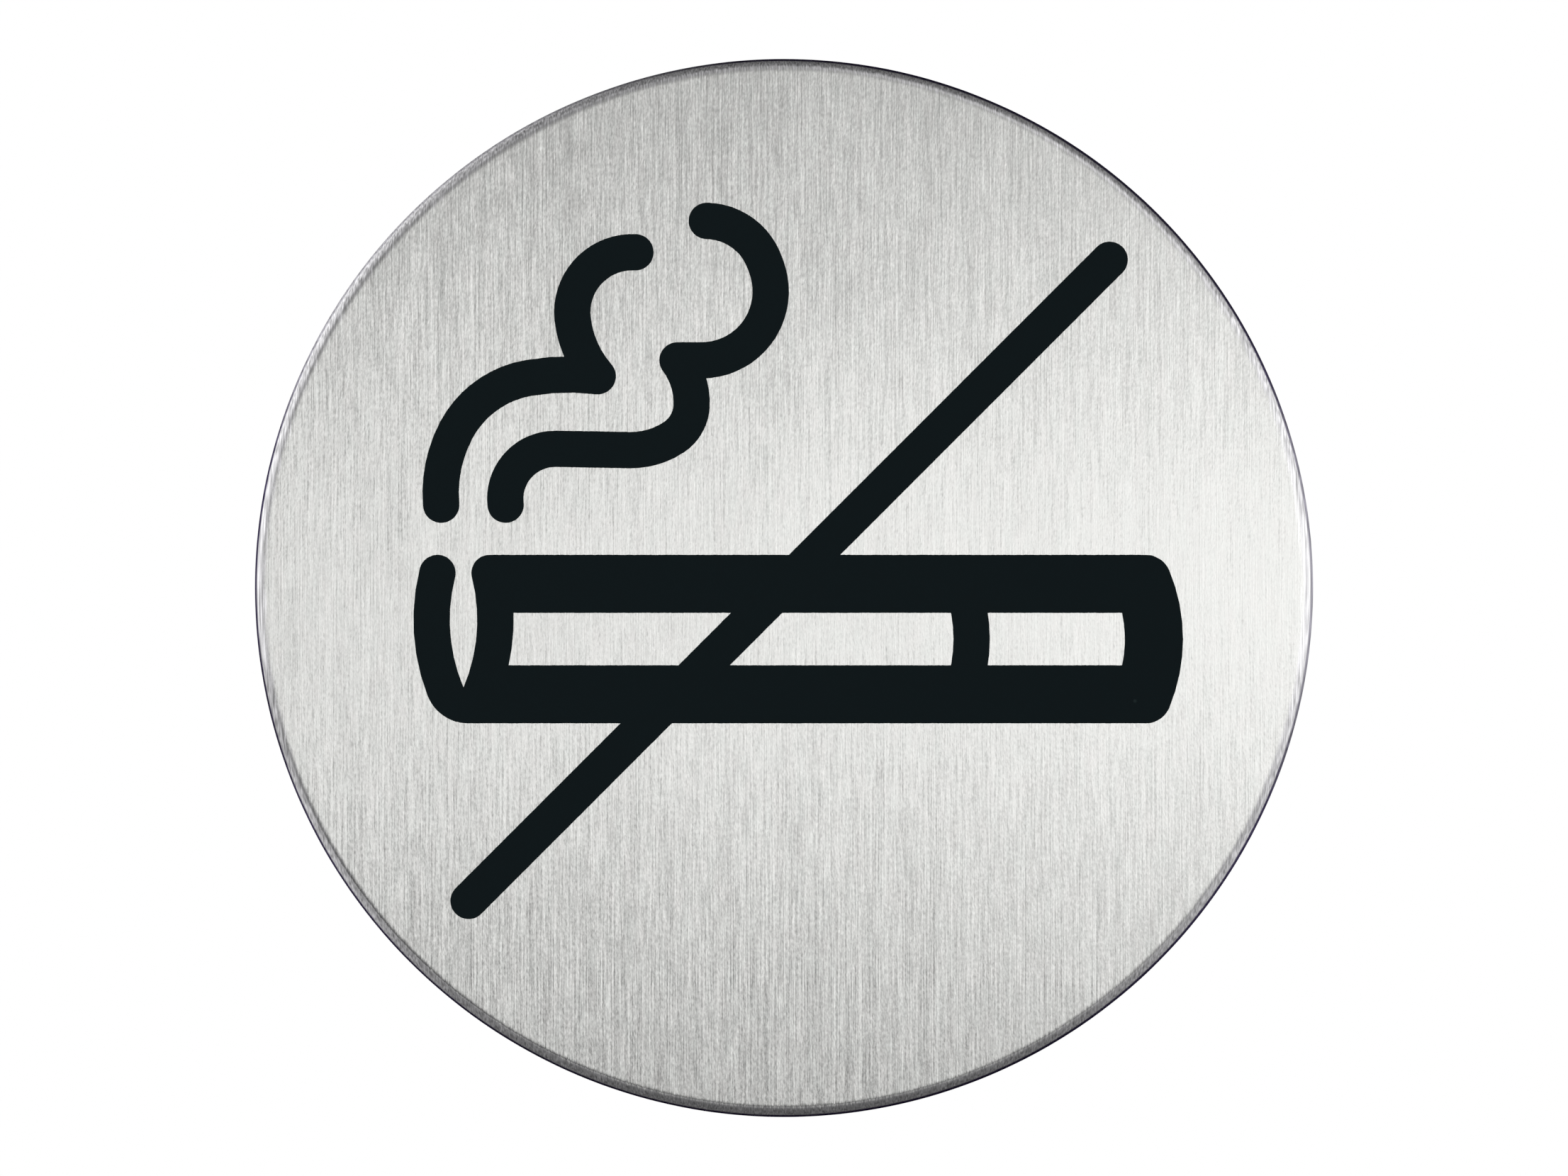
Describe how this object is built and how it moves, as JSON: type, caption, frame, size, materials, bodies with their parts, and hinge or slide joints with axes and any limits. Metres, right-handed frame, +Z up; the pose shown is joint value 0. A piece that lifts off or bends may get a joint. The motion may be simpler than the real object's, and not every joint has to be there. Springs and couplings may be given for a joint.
{
  "type": "no smoking sign",
  "caption": "Round brushed stainless steel no smoking sign, with a smoking cigarette crossed out in black print and an adhesive foam pad on its back.",
  "frame": {"origin": "middle of the adhesive pad's outer side, which lies on the wall", "axes": "+Z up the sign, +X to the right of the printed face, +Y into the wall; the printed face looks towards -Y"},
  "size_m": [0.083, 0.0019, 0.083],
  "materials": {
    "steel": "vertically brushed",
    "ink": "semi-matte screen print",
    "foam": "matte foam with an adhesive skin"
  },
  "bodies": {
    "root": {"steel_plate": "steel", "adhesive_pad": "foam", "crossed_cigarette": "ink", "smoke_left": "ink", "smoke_right": "ink"}
  },
  "joints": []
}
